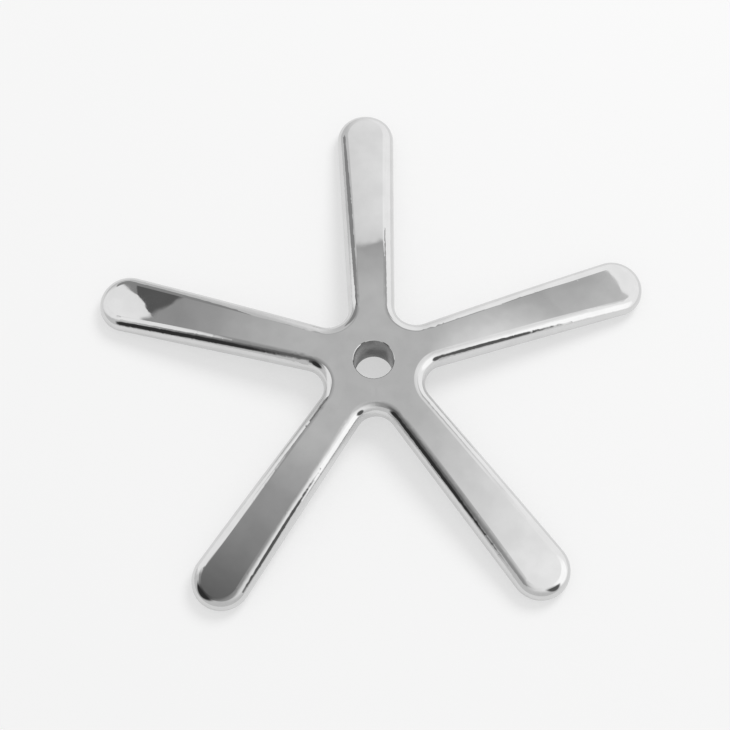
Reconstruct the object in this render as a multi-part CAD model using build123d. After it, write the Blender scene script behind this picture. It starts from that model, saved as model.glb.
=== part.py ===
from build123d import *
import os
from math import asin, atan2, cos, hypot, radians, sin, tan

# Five-star base of a swivel chair, cast in one piece and polished.
# Millimetres and degrees, +Z up. The origin is on the hub's axis, in the plane that the hub's lower
# face and the five caster bosses share, which is the plane the base rests on. Arm 0 points along +Y.

# Outline in plan. These sizes hold in the resting plane, and the walls lean in above it.
arm_count = 5
arm_reach = 351.0
hub_half_width = 30.0
tip_radius = 37.0
crotch_radius = 21.5
wall_draft = 6.4

# Side view: the top surface falls in one arch from the hub's flat to the arms' ends, and the lower
# edge is a straight slope.
hub_height = 51.2
hub_flat_radius = 30.0
arm_end_height = 22.4
arm_end_slope = 8.8
arch_hub_handle = 52.0
arch_end_handle = 124.0
lower_edge_height_hub = 34.8
lower_edge_height_tip = 8.6
top_edge_radius = 13.5
lower_edge_radius = 1.6

# The open underside: each arm is a channel with a rib along it and three across it.
wall_thickness = 5.0
skin_thickness = 5.0
rib_thickness = 4.0
rib_recess = 2.5
cross_rib_count = 3
core_draft = 2.0

# Hub, with its 1 in 20 taper for the gas spring.
bore_mouth_diameter = 48.8
bore_taper = 1 / 20
bore_chamfer = 0.6
hub_boss_diameter = 63.0
boss_chamfer = 1.0

# Caster sockets, for 11 mm stems, at the centre of each arm's round end.
socket_diameter = 11.0
socket_depth = 22.0
socket_chamfer = 0.4
caster_boss_diameter = 24.0

# Worked out from the sizes above.
caster_circle_radius = arm_reach - tip_radius
arm_angles = [90 + 360 / arm_count * i for i in range(arm_count)]
seam_angle = arm_angles[0] + 180
outside = 20.0


def turned(shape, angle):
    """A shape that was drawn along +X, turned about the hub's axis."""
    return shape.rotate(Axis.Z, angle)


def around_axis(profile):
    """A closed profile in the XZ plane, revolved, with its seam midway between two arms."""
    return turned(revolve(make_face(Plane.XZ * profile), Axis.Z), seam_angle)


def upright_faces(solid):
    return solid.faces().filter_by(lambda face: abs(face.normal_at().Z) < 0.5)


def edges_against_walls(solid, kind):
    """The edges where the walls of a solid meet its level faces of one kind of surface."""
    wall_edges = upright_faces(solid).edges()
    level = [face for face in solid.faces().filter_by(kind) if abs(face.normal_at().Z) > 0.5]
    return [edge for face in level for edge in face.edges() if edge in wall_edges]


def star_outline():
    """The base in plan: arms that widen outwards to round ends, joined by round crotches."""
    far = hypot(caster_circle_radius, hub_half_width)
    lean = asin(tip_radius / far) - atan2(hub_half_width, caster_circle_radius)
    end_x = caster_circle_radius - tip_radius * sin(lean)
    end_y = tip_radius * cos(lean)
    side = Polyline((0, -hub_half_width), (end_x, -end_y), (end_x, end_y), (0, hub_half_width), close=True)
    arm = make_face(side) + Pos(caster_circle_radius, 0) * Circle(tip_radius)
    star = Sketch() + [turned(arm, angle) for angle in arm_angles]
    crotches = star.vertices().sort_by(lambda vertex: hypot(vertex.X, vertex.Y))[:arm_count]
    return fillet(crotches, crotch_radius)


def below_top(depth=0.0):
    """Everything lower than the arched top surface, or than a surface that lies depth below it."""
    fall = tan(radians(arm_end_slope))
    start = (hub_flat_radius, hub_height - depth)
    end = (arm_reach, arm_end_height - depth)
    arch = Bezier(
        start,
        (start[0] + arch_hub_handle, start[1]),
        (end[0] - arch_end_handle, end[1] + arch_end_handle * fall),
        end,
    )
    past_end = (arm_reach + outside, end[1] - outside * fall)
    rest = Polyline(end, past_end, (past_end[0], -outside), (0, -outside), (0, start[1]), start)
    return around_axis(Curve() + [arch, rest])


def below_lower_edge(rise=0.0):
    """Everything lower than the slope that the walls end on, or than one that lies rise above it."""
    slope = (lower_edge_height_tip - lower_edge_height_hub) / arm_reach
    far = arm_reach + outside
    hub_level = lower_edge_height_hub + rise
    top = [(far, hub_level + slope * far), (0, hub_level)]
    return around_axis(Polyline((0, -2 * outside), (far, -2 * outside), *top, close=True))


def arched_prism(outline, depth, radius):
    """Drafted walls over an outline, closed by the arch or by a surface depth below it, edge rounded."""
    walls = extrude(outline, hub_height + outside, taper=wall_draft)
    body = (walls & below_top(depth)).solid()
    return body.fillet(radius, edges_against_walls(body, GeomType.REVOLUTION))


def channel_core(outline):
    """The hollow under the star, one wall in from the outside and one skin below the top."""
    inner = offset(outline, -wall_thickness, kind=Kind.TANGENT)
    return arched_prism(inner, skin_thickness, top_edge_radius - wall_thickness)


def shell(outline, core):
    """The open casting: the outside less the hollow, its walls cut to the slope and their feet rounded."""
    body = (arched_prism(outline, 0, top_edge_radius) - core - below_lower_edge()).solid()
    return body.fillet(lower_edge_radius, edges_against_walls(body, GeomType.CONE))


def boss(diameter, at=0.0):
    """A round boss from the resting plane into the skin, widening upwards by the core's draft."""
    radius = diameter / 2
    top_radius = radius + hub_height * tan(radians(core_draft))
    body = Cone(radius, top_radius, hub_height, align=(Align.CENTER, Align.CENTER, Align.MIN))
    foot = body.edges().sort_by(Axis.Z)[0]
    return Pos(at, 0) * body.chamfer(boss_chamfer, None, [foot])


def bosses():
    """The hub and the five caster bosses, each ending inside the skin."""
    caster_bosses = [turned(boss(caster_boss_diameter, caster_circle_radius), angle) for angle in arm_angles]
    return (boss(hub_boss_diameter) + caster_bosses) & below_top(skin_thickness / 2)


def rib(length, width, at):
    """A straight rib, drawn in plan by its size along and across the arm and thicker at its root."""
    return extrude(Pos(at, 0) * Rectangle(length, width), hub_height, taper=-core_draft)


def ribs(core):
    """The rib along each arm and the ones across it, cut to the hollow and held back from its mouth."""
    hub_edge = hub_boss_diameter / 2
    pitch = (caster_circle_radius - hub_edge) / (cross_rib_count + 1)
    along = rib(caster_circle_radius, rib_thickness, caster_circle_radius / 2)
    across = [rib(rib_thickness, 2 * tip_radius, hub_edge + pitch * (i + 1)) for i in range(cross_rib_count)]
    arm_ribs = turned(along + across, arm_angles[0]) & core - below_lower_edge(rib_recess)
    return [turned(arm_ribs, angle - arm_angles[0]) for angle in arm_angles]


def gas_spring_bore():
    """The tapered through hole of the hub, wide end up, with both mouths broken."""
    top = bore_mouth_diameter / 2
    bottom = top - hub_height * bore_taper / 2
    sides = [(0, 0), (bottom + bore_chamfer, 0), (bottom, bore_chamfer)]
    sides += [(top, hub_height - bore_chamfer), (top + bore_chamfer, hub_height), (0, hub_height)]
    return around_axis(Polyline(*sides, close=True))


def caster_socket():
    """A blind hole that opens downwards, with its mouth broken."""
    radius = socket_diameter / 2
    mouth = radius + socket_chamfer
    sides = [(0, 0), (mouth, 0), (radius, socket_chamfer), (radius, socket_depth), (0, socket_depth)]
    hole = revolve(make_face(Plane.XZ * Polyline(*sides, close=True)), Axis.Z)
    return Pos(caster_circle_radius, 0) * hole


def star_base():
    outline = star_outline()
    core = channel_core(outline)
    casting = shell(outline, core) + ribs(core) + bosses()
    casting -= gas_spring_bore()
    casting -= [turned(caster_socket(), angle) for angle in arm_angles]
    return casting.solid()


os.makedirs("parts", exist_ok=True)
export_step(star_base(), "parts/star_base.step")
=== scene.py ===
from math import cos, radians, sin

import bpy
from mathutils import Matrix, Vector


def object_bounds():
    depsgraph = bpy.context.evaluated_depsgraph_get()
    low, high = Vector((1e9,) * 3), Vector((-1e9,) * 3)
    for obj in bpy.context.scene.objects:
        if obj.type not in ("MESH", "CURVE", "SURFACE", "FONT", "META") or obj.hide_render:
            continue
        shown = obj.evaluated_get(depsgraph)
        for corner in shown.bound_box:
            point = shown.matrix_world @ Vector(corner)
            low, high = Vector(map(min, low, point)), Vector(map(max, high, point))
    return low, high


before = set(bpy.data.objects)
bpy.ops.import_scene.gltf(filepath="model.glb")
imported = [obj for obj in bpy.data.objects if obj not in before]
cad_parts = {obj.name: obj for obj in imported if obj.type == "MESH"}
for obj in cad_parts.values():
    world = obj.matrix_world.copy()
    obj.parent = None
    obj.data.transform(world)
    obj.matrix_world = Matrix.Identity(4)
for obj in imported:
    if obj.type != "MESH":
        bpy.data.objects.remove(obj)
cad_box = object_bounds()
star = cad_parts["star_base"]

# The hub's axis is the origin, +Z is up and arm 0 points along +Y, to the picture's top.
HUB_HEIGHT = cad_box[1][2]

# Camera, found from the photo's outline: it looks down at the star from the front.
PICTURE_SIZE = 730
CAMERA_ELEVATION = 68.78
CAMERA_AZIMUTH = -0.92
CAMERA_ROLL = -0.97
CAMERA_DISTANCE = 2.0514
FOCAL_LENGTH_PX = 1720.2
HUB_TOP_PX = (373.66, 359.24)
SENSOR = 36.0


# Nodes


def node(tree, kind, inputs=(), **settings):
    """A new node with its settings and sockets filled in. A socket's value may be another node's output."""
    made = tree.nodes.new(kind)
    for name, value in settings.items():
        setattr(made, name, value)
    for socket, value in dict(inputs).items():
        if isinstance(value, bpy.types.NodeSocket):
            tree.links.new(value, made.inputs[socket])
        else:
            made.inputs[socket].default_value = value
    return made


def maths(tree, operation, *values):
    return node(tree, "ShaderNodeMath", enumerate(values), operation=operation).outputs[0]


def vector_maths(tree, operation, *values):
    made = node(tree, "ShaderNodeVectorMath", enumerate(values), operation=operation)
    return made.outputs["Value" if operation in ("DOT_PRODUCT", "LENGTH") else "Vector"]


def fade(tree, value, start, end, low=0.0, high=1.0):
    """low before start and high after end, with a smooth step between them."""
    inputs = {"Value": value, "From Min": start, "From Max": end, "To Min": low, "To Max": high}
    return node(tree, "ShaderNodeMapRange", inputs, interpolation_type="SMOOTHSTEP").outputs["Result"]


def mix(tree, amount, first, second):
    inputs = {"Factor": amount, 2: first, 3: second}
    return node(tree, "ShaderNodeMix", inputs, data_type="FLOAT").outputs[0]


def noise(tree, place, scale, detail, roughness=0.5):
    """A noise texture's outputs: its value, then its colour."""
    inputs = {"Vector": place, "Scale": scale, "Detail": detail, "Roughness": roughness}
    return node(tree, "ShaderNodeTexNoise", inputs).outputs


def empty_material(name):
    """A new material without nodes, and its node tree."""
    material = bpy.data.materials.new(name)
    material.use_nodes = True
    material.node_tree.nodes.clear()
    return material, material.node_tree


def direction(azimuth, elevation):
    """A unit vector. Azimuth 0 is the picture's right, 90 is away from the camera."""
    a, e = radians(azimuth), radians(elevation)
    return Vector((cos(a) * cos(e), sin(a) * cos(e), sin(e)))


# Camera


def place_camera():
    e, a, roll = (radians(x) for x in (CAMERA_ELEVATION, CAMERA_AZIMUTH, CAMERA_ROLL))
    back = Vector((sin(a) * cos(e), -cos(a) * cos(e), sin(e)))
    right = Vector((cos(a), sin(a), 0))
    up = back.cross(right)
    axes = [cos(roll) * right + sin(roll) * up, cos(roll) * up - sin(roll) * right, back]
    across = (HUB_TOP_PX[0] - PICTURE_SIZE / 2) * CAMERA_DISTANCE / FOCAL_LENGTH_PX
    above = (PICTURE_SIZE / 2 - HUB_TOP_PX[1]) * CAMERA_DISTANCE / FOCAL_LENGTH_PX
    place = Vector((0, 0, HUB_HEIGHT)) - across * axes[0] - above * axes[1] + CAMERA_DISTANCE * back
    data = bpy.data.cameras.new("camera")
    data.sensor_width = SENSOR
    data.lens = FOCAL_LENGTH_PX / PICTURE_SIZE * SENSOR
    camera = bpy.data.objects.new("camera", data)
    camera.matrix_world = Matrix.Translation(place) @ Matrix(axes).transposed().to_4x4()
    bpy.context.scene.collection.objects.link(camera)
    bpy.context.scene.camera = camera


# Studio

# Brightness of the studio's parts. As an emission, 1 is white.
DOME_LIGHT = 1.26
DARK_ROOM = 0.55
WORLD_LIGHT = 0.50
FLOOR_COLOUR = 0.46
FLOOR_OWN_LIGHT = 0.555

FLOOR_SIZE = 12.0
FLOOR_GAP = 0.0001

KEY_POWER = 150.0
KEY_SIZE = 3.0
KEY_DISTANCE = 6.0
KEY_AZIMUTH = 50
KEY_ELEVATION = 50

# The room that the polished metal reflects is a dome round the star. Its lights, walls and dark things
# are listed here and painted one over the other: azimuth, elevation, half width and half height in
# degrees, the kind of edge, brightness.
DOME_RADIUS = 0.95
DOME_SEGMENTS = 96
RAGGED_EDGES = 0.012
RAGGED_SCALE = 30.0
CLOUDS = 0.03
CLOUD_SCALE = 14.0
CRISP, SOFT, VAGUE = 0.01, 0.3, 0.7
ROOM = {
    "right_wall": (25, 25, 65, 70, SOFT, 0.9),
    "left_wall": (160, 35, 20, 35, SOFT, 0.85),
    "curtain": (125, 35, 12, 18, CRISP, 0.25),
    "left_panel": (137, 47, 3, 6, CRISP, 0.1),
    "right_panel": (40, 46, 18, 6, CRISP, 0.35),
    "ceiling": (-115, 85, 48, 48, CRISP, 0.3),
    "light_over_hub": (70, 73, 30, 23, SOFT, 0.5),
    "right_light": (35, 63, 11, 11, SOFT, 0.7),
    "right_front": (-25, 50, 40, 25, VAGUE, 0.9),
    "left_front": (-142, 53, 12, 14, VAGUE, 0.12),
    "photographer": (-145, 27, 15, 20, SOFT, 0.03),
    "front_lamp": (-24, 28, 19, 23, SOFT, 1.1),
    "stand": (-48, 26, 9, 18, SOFT, 0.1),
    "left_light": (170, 50, 12, 10, SOFT, 0.85),
}


def patch_mask(tree, ray, azimuth, elevation, half_width, half_height, edge):
    """1 inside an ellipse of the room round one direction and 0 outside it, with its kind of edge."""
    axis = direction(azimuth, elevation)
    level = direction(azimuth + 90, 0)
    facing = vector_maths(tree, "DOT_PRODUCT", ray, axis)
    across = maths(tree, "ARCTAN2", vector_maths(tree, "DOT_PRODUCT", ray, level), facing)
    above = maths(tree, "ARCTAN2", vector_maths(tree, "DOT_PRODUCT", ray, axis.cross(level)), facing)
    x = maths(tree, "DIVIDE", across, radians(half_width))
    y = maths(tree, "DIVIDE", above, radians(half_height))
    place = node(tree, "ShaderNodeCombineXYZ", {"X": x, "Y": y}).outputs[0]
    return fade(tree, vector_maths(tree, "LENGTH", place), 1 - edge, 1 + edge, 1.0, 0.0)


def build_dome():
    """The room as the metal sees it. Only reflected rays meet it."""
    bpy.ops.mesh.primitive_uv_sphere_add(
        segments=DOME_SEGMENTS, ring_count=DOME_SEGMENTS // 2, radius=DOME_RADIUS
    )
    dome = bpy.context.object
    dome.name = "dome"
    for kind in ("camera", "diffuse", "transmission", "volume_scatter", "shadow"):
        setattr(dome, "visible_" + kind, False)
    material, tree = empty_material("dome")
    place = node(tree, "ShaderNodeTexCoord").outputs["Object"]
    ray = vector_maths(tree, "NORMALIZE", place)
    ragged = noise(tree, ray, RAGGED_SCALE, detail=4.0)["Color"]
    shift = vector_maths(tree, "SUBTRACT", ragged, (0.5, 0.5, 0.5))
    ray = vector_maths(tree, "MULTIPLY_ADD", shift, (RAGGED_EDGES,) * 3, ray)
    light = DARK_ROOM
    for *patch, brightness in ROOM.values():
        light = mix(tree, patch_mask(tree, ray, *patch), light, brightness)
    clouds = fade(tree, noise(tree, ray, CLOUD_SCALE, detail=3.0)[0], 0.3, 0.7, 1 - CLOUDS, 1 + CLOUDS)
    light = maths(tree, "MULTIPLY", light, clouds)
    shine = node(tree, "ShaderNodeEmission", {"Strength": maths(tree, "MULTIPLY", light, DOME_LIGHT)})
    node(tree, "ShaderNodeOutputMaterial", {"Surface": shine.outputs[0]})
    dome.data.materials.append(material)


def seen_directly(tree):
    """1 for rays of the camera, of reflections and of clear materials, and 0 for the light on things."""
    path = node(tree, "ShaderNodeLightPath").outputs
    seen = maths(tree, "ADD", path["Is Camera Ray"], path["Is Glossy Ray"])
    return maths(tree, "MINIMUM", maths(tree, "ADD", seen, path["Is Transmission Ray"]), 1.0)


def build_world():
    """An even grey light all round, which looks white."""
    world = bpy.data.worlds.new("room")
    bpy.context.scene.world = world
    world.use_nodes = True
    tree = world.node_tree
    background = tree.nodes["Background"]
    background.inputs["Color"].default_value = (1, 1, 1, 1)
    tree.links.new(mix(tree, seen_directly(tree), WORLD_LIGHT, 1.0), background.inputs["Strength"])


def build_floor():
    """A pale floor that keeps the star's soft shadow and looks white to the camera and in metal. From
    below it can be seen through, so that the star's underside shows."""
    bpy.ops.mesh.primitive_plane_add(size=FLOOR_SIZE, location=(0, 0, -FLOOR_GAP))
    floor = bpy.context.object
    floor.name = "floor"
    material, tree = empty_material("floor")
    matt = node(tree, "ShaderNodeBsdfDiffuse", {"Color": (FLOOR_COLOUR, FLOOR_COLOUR, FLOOR_COLOUR, 1)})
    own_light = maths(tree, "MULTIPLY", seen_directly(tree), FLOOR_OWN_LIGHT)
    glow = node(tree, "ShaderNodeEmission", {"Strength": own_light})
    both = node(tree, "ShaderNodeAddShader", {0: matt.outputs[0], 1: glow.outputs[0]})
    clear = node(tree, "ShaderNodeBsdfTransparent")
    from_below = node(tree, "ShaderNodeNewGeometry").outputs["Backfacing"]
    surface = node(tree, "ShaderNodeMixShader", {0: from_below, 1: both.outputs[0], 2: clear.outputs[0]})
    node(tree, "ShaderNodeOutputMaterial", {"Surface": surface.outputs[0]})
    floor.data.materials.append(material)


def build_lamp():
    """One wide soft lamp behind the star, to the right. The metal shows the dome instead of it."""
    data = bpy.data.lights.new("key", "AREA")
    data.shape = "DISK"
    data.size = KEY_SIZE
    data.energy = KEY_POWER
    lamp = bpy.data.objects.new("key", data)
    lamp.location = KEY_DISTANCE * direction(KEY_AZIMUTH, KEY_ELEVATION)
    lamp.rotation_euler = lamp.location.to_track_quat("Z", "Y").to_euler()
    lamp.visible_glossy = False
    bpy.context.scene.collection.objects.link(lamp)


# Metal

# Cast aluminium, by finish: grey value, roughness. The bore's grey is not its finish but painted shade:
# it is darkened well below the turned foot to stand for the shade inside the bore.
POLISHED = (0.68, 0.03)
AS_CAST = (0.52, 0.50)
TURNED_FOOT = (0.60, 0.27)
TURNED_BORE_PAINTED_SHADE = (0.25, 0.42)

# Where a finish ends. The radius lies just outside the bore's chamfered rims.
DRAFT_BLEND = 0.04
FOOT_TOP = 0.0003
BORE_RADIUS = 0.0252
BORE_FACING_UP = 0.3

# Heights are in metres. A scale is a number of waves or cells in about a metre.
WAVE_HEIGHT = 0.00015
WAVE_SCALE = 26.0
SCRATCH_DEPTH = 0.0000006
SCRATCH_SCALE = (260.0, 2400.0, 900.0)
PIT_DEPTH = 0.00005
PIT_SCALE = 34.0
PIT_EDGE = (0.012, 0.028)
GRAIN_HEIGHT = 0.00025
GRAIN_SCALE = 1400.0
RING_HEIGHT = 0.00002
RING_SCALE = 800.0
RING_GREY = (0.86, 1.14)
HAZE_SCALE = 34.0
HAZE_GREY = (0.97, 1.03)
HAZE_ROUGHNESS = (0.6, 1.5)


def finish_masks(tree, place):
    """Where the casting is as cast, a turned foot or bore. The moulded draft tells outside from inside."""
    axes = node(tree, "ShaderNodeSeparateXYZ", {0: place}).outputs
    level = node(tree, "ShaderNodeCombineXYZ", {0: axes["X"], 1: axes["Y"]}).outputs[0]
    from_axis = vector_maths(tree, "LENGTH", level)
    facing = node(tree, "ShaderNodeTexCoord").outputs["Normal"]
    facing_up = node(tree, "ShaderNodeSeparateXYZ", {0: facing}).outputs["Z"]
    as_cast = fade(tree, facing_up, -DRAFT_BLEND, DRAFT_BLEND, 1.0, 0.0)
    foot = maths(tree, "LESS_THAN", axes["Z"], FOOT_TOP)
    near_axis = maths(tree, "LESS_THAN", from_axis, BORE_RADIUS)
    bore = maths(tree, "MULTIPLY", near_axis, maths(tree, "LESS_THAN", facing_up, BORE_FACING_UP))
    ring_place = maths(tree, "ADD", maths(tree, "MULTIPLY", bore, axes["Z"]), from_axis)
    return as_cast, foot, bore, ring_place


def polished_waves(tree, place):
    """The uneven form that polishing by hand leaves, from wide waves down to faint scratches and pits."""
    wide = noise(tree, place, WAVE_SCALE, detail=2.0, roughness=0.4)[0]
    scratch_place = node(tree, "ShaderNodeMapping", {"Vector": place, "Scale": SCRATCH_SCALE}).outputs[0]
    scratches = noise(tree, scratch_place, 1.0, detail=2.0)[0]
    pits = node(tree, "ShaderNodeTexVoronoi", {"Vector": place, "Scale": PIT_SCALE}).outputs["Distance"]
    height = maths(tree, "MULTIPLY", wide, WAVE_HEIGHT)
    height = maths(tree, "MULTIPLY_ADD", scratches, SCRATCH_DEPTH, height)
    return maths(tree, "ADD", height, fade(tree, pits, *PIT_EDGE, -PIT_DEPTH, 0.0))


def cast_aluminium():
    material, tree = empty_material("cast_aluminium")
    place = node(tree, "ShaderNodeTexCoord").outputs["Object"]
    as_cast, foot, bore, ring_place = finish_masks(tree, place)
    turned = maths(tree, "MAXIMUM", foot, bore)

    grey, roughness = POLISHED
    # The bore's grey darkens it as painted shade inside the bore; its roughness and rings are the turned
    # finish.
    for mask, finish in ((as_cast, AS_CAST), (foot, TURNED_FOOT), (bore, TURNED_BORE_PAINTED_SHADE)):
        grey = mix(tree, mask, grey, finish[0])
        roughness = mix(tree, mask, roughness, finish[1])
    haze = noise(tree, place, HAZE_SCALE, detail=4.0)[0]
    grey = maths(tree, "MULTIPLY", grey, fade(tree, haze, 0.25, 0.75, *HAZE_GREY))
    roughness = maths(tree, "MULTIPLY", roughness, fade(tree, haze, 0.3, 0.7, *HAZE_ROUGHNESS))

    ring_inputs = {"W": ring_place, "Scale": RING_SCALE, "Detail": 3.0, "Roughness": 0.7}
    rings = node(tree, "ShaderNodeTexNoise", ring_inputs, noise_dimensions="1D").outputs[0]
    ring_grey = fade(tree, rings, 0.3, 0.7, *RING_GREY)
    grey = maths(tree, "MULTIPLY", grey, mix(tree, turned, 1.0, ring_grey))

    grain = maths(tree, "MULTIPLY", noise(tree, place, GRAIN_SCALE, detail=2.0)[0], GRAIN_HEIGHT)
    height = mix(tree, as_cast, polished_waves(tree, place), grain)
    height = mix(tree, turned, height, maths(tree, "MULTIPLY", rings, RING_HEIGHT))
    bump = node(tree, "ShaderNodeBump", {"Height": height, "Strength": 1.0, "Distance": 1.0})
    colour = node(tree, "ShaderNodeCombineColor", {0: grey, 1: grey, 2: grey})
    metal = node(tree, "ShaderNodeBsdfPrincipled", {
        "Base Color": colour.outputs[0], "Metallic": 1.0, "Roughness": roughness, "Normal": bump.outputs[0],
    })
    node(tree, "ShaderNodeOutputMaterial", {"Surface": metal.outputs[0]})
    return material


star.data.materials.clear()
star.data.materials.append(cast_aluminium())

place_camera()
build_dome()
build_world()
build_floor()
build_lamp()
bpy.context.scene.view_settings.view_transform = "Standard"
